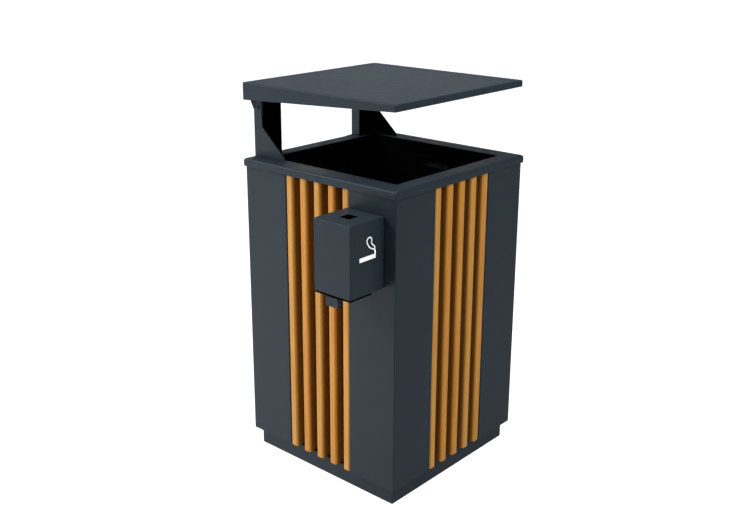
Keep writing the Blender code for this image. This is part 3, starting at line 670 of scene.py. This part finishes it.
def slat_screws(head):
    """A screw into the back of each slat through the lower frame, and another through the upper."""
    lower_low, lower_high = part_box("lower_frame")
    upper_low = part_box("upper_frame")[0]
    inner = lower_high.y - 3 * MM
    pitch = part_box("slat_front_2")[0].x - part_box("slat_front_1")[0].x
    for label, z in (("lower", lower_low.z + 17 * MM), ("upper", upper_low.z + 12 * MM)):
        places = []
        for i in range(4):
            turn = quarter_turn(i).to_3x3()
            inward = turn @ Vector((0, 1, 0))
            places += [(turn @ Vector(((j - 2) * pitch, -inner, z)), inward) for j in range(5)]
        fasteners(f"slat_screws_{label}", "bin_body", head, places)


def canopy_bolts(label, side, head, nut):
    """Two bolts through a post, with nuts inside, and two nuts under its bracket."""
    post_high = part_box("canopy_post_right")[1]
    bolt_y, levels = post_high.y - 17 * MM, (841 * MM, 873 * MM)
    outside = side * post_high.x
    inside = side * (post_high.x - 5.3 * MM)
    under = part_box(f"canopy_bracket_{label}")[1].z - 3 * MM
    places = [((outside, bolt_y, z), (side, 0, 0)) for z in levels]
    fasteners(f"canopy_bolts_{label}", "lid", head, places, "anthracite_coat")
    places = [((inside, bolt_y, z), (-side, 0, 0)) for z in levels]
    places += [((side * x, bolt_y, under), (0, 0, -1)) for x in (150 * MM, 172 * MM)]
    fasteners(f"canopy_nuts_{label}", "lid", nut, places, "black_coat")


def hinge_screws(label, head):
    """Four screws in a hinge's fixed leaf and four smaller ones in its moving leaf."""
    leaf_low, leaf_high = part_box(f"body_hinge_leaf_{label}")
    middle = (leaf_low.x + leaf_high.x) / 2
    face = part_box("corner_panel_rear_left")[1].y + 3.3 * MM
    columns, levels = (-20 * MM, 20 * MM), (665 * MM, 687 * MM)
    places = [((middle + x, face, z), (0, 1, 0)) for x in columns for z in levels]
    fasteners(f"hinge_screws_{label}", "bin_body", head, places)
    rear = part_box("rim_frame")[1].y + 2.3 * MM
    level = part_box(f"lid_hinge_leaf_{label}")[1].z - 5 * MM
    places = [((middle + x, rear, level), (0, 1, 0)) for x in (-22 * MM, -7 * MM, 7 * MM, 22 * MM)]
    fasteners(f"lid_hinge_screws_{label}", "lid", button_head(2.6 * MM, 1.4 * MM), places)


def all_fasteners():
    small = button_head(3.4 * MM, 2.0 * MM)
    medium = button_head(4.6 * MM, 2.4 * MM)
    nut = hexagon_head(8 * MM, 4 * MM)
    slat_screws(small)
    for label, side in SIDES:
        canopy_bolts(label, side, medium, nut)
        hinge_screws(label, small)
    lip_place = ((17.6 * MM, 188 * MM, 718.6 * MM), (0, -1, 0))
    fasteners("rear_lip_screw", "lid", button_head(3.2 * MM, 1.6 * MM), [lip_place], "anthracite_coat")


# Nodes that keep their own shape

def edge_table():
    """Edge radius in mm and segments of each node that keeps its own shape."""
    table = {
        "base_plate": (0.6, 2), "plinth_frame": (0.7, 2), "lower_frame": (0.8, 2), "upper_frame": (0.8, 2),
        "canopy_stiffener": (0.4, 2), "canopy_gusset_left": (0.4, 2), "canopy_gusset_right": (0.4, 2),
        "lock_barrel": (0.4, 2), "lock_core": (0.3, 2), "lock_cam": (0.5, 2), "lock_keeper": (0.5, 2),
        "ash_box_bracket": (0.6, 2), "ash_box_floor": (0.3, 2), "ash_box_bolt_upper": (0.5, 2),
        "ash_box_bolt_lower": (0.5, 2), "ash_flap": (0.35, 2), "ash_flap_lug": (0.5, 3),
        "ash_flap_pin": (0.2, 2),
    }
    for row in ("front", "rear"):
        table.update({f"lid_buffer_{row}_{label}": (2.0, 4) for label, _ in SIDES})
    for label, _ in SIDES:
        table.update({f"body_hinge_leaf_{label}": (0.4, 2), f"lid_hinge_leaf_{label}": (0.3, 2),
                      f"hinge_pin_{label}": (0.5, 3), f"canopy_bracket_{label}": (0.5, 2)})
    return table


def refined_nodes():
    """Each node's own shape with rounded edges."""
    for node_name, (radius, segments) in edge_table().items():
        soften(skin(node_name, cad_copy(node_name)), radius * MM, segments)


# The scene

def stage():
    """A pale floor that glows a little, so that it stays white and keeps a soft contact shadow."""
    bm = bmesh.new()
    bmesh.ops.create_grid(bm, x_segments=1, y_segments=1, size=40)
    floor = bpy.data.objects.new("floor", mesh_from(bm, "floor"))
    bpy.context.scene.collection.objects.link(floor)
    material, tree, shader = new_material("floor")
    shader.inputs["Base Color"].default_value = (0.4, 0.4, 0.4, 1)
    shader.inputs["Roughness"].default_value = 1.0
    shader.inputs["Specular IOR Level"].default_value = 0.0
    shader.inputs["Emission Color"].default_value = (1, 1, 1, 1)
    seen = node(tree, "ShaderNodeLightPath").outputs["Is Camera Ray"]
    tree.links.new(span(tree, seen, FLOOR_GLOW, FLOOR_GLOW_SEEN, 0, 1), shader.inputs["Emission Strength"])
    floor.data.materials.append(material)
    floor.visible_shadow = False


def sky():
    """Even soft light from above the horizon. The camera sees plain white."""
    world = bpy.data.worlds.new("studio")
    world.use_nodes = True
    bpy.context.scene.world = world
    tree = world.node_tree
    direction = node(tree, "ShaderNodeTexCoord").outputs["Generated"]
    height = node(tree, "ShaderNodeSeparateXYZ", {0: direction}).outputs["Z"]
    above = node(tree, "ShaderNodeMath", {0: height, 1: 0.0}, operation="GREATER_THAN").outputs[0]
    strength = node(tree, "ShaderNodeMath", {0: above, 1: SKY}, operation="MULTIPLY").outputs[0]
    light = node(tree, "ShaderNodeBackground", {"Color": (0.97, 0.985, 1, 1), "Strength": strength})
    white = node(tree, "ShaderNodeBackground", {"Color": (1, 1, 1, 1), "Strength": 1.0})
    seen = node(tree, "ShaderNodeLightPath").outputs["Is Camera Ray"]
    mixed = node(tree, "ShaderNodeMixShader", {0: seen, 1: light.outputs[0], 2: white.outputs[0]})
    tree.links.new(mixed.outputs[0], tree.nodes["World Output"].inputs["Surface"])


def area_light(name, direction, distance, size, power, target=(0, 0, 0.45)):
    """A square light that looks at the target from a direction."""
    data = bpy.data.lights.new(name, "AREA")
    data.size = size
    data.energy = power
    data.cycles.use_multiple_importance_sampling = False     # the floor would block part of a light below it
    light = bpy.data.objects.new(name, data)
    away = Vector(direction).normalized()
    light.matrix_world = facing(Vector(target) + away * distance, away)
    bpy.context.scene.collection.objects.link(light)


def lights():
    canopy_top = (0, 0, 0.9)
    area_light("low_left", (-0.74, 0.67, -0.28), 3.2, 2.6, 32)
    area_light("rear_left", (-0.7, 0.7, 0.8), 3.2, 1.6, 67.5)
    area_light("overhead", (0, 0, 1), 2.6, 1.6, 42, canopy_top)
    area_light("rear_right", (0.74, 0.67, 0.31), 3.2, 1.6, 2.2, canopy_top)
    area_light("front", (0, -1, 1), 3.2, 1.6, 44)


def camera():
    data = bpy.data.cameras.new("camera")
    data.sensor_width = 36
    data.lens = 47.30
    data.shift_x = 0.0204
    data.shift_y = -0.0432
    data.clip_start = 0.05
    view = bpy.data.objects.new("camera", data)
    turn, rise = radians(-47.8849), radians(17.2709)
    back = Vector((sin(turn) * cos(rise), -cos(turn) * cos(rise), sin(rise)))
    view.matrix_world = facing((-1.6851, -1.4460, 1.2318), back)
    bpy.context.scene.collection.objects.link(view)
    bpy.context.scene.camera = view


slats()
corner_panels()
liner()
rim_frame()
canopy_posts()
post_welds()
canopy()
ash_housing()
smoking_sign()
refined_nodes()
all_fasteners()
stage()
sky()
lights()
camera()
bpy.context.scene.view_settings.view_transform = "Standard"
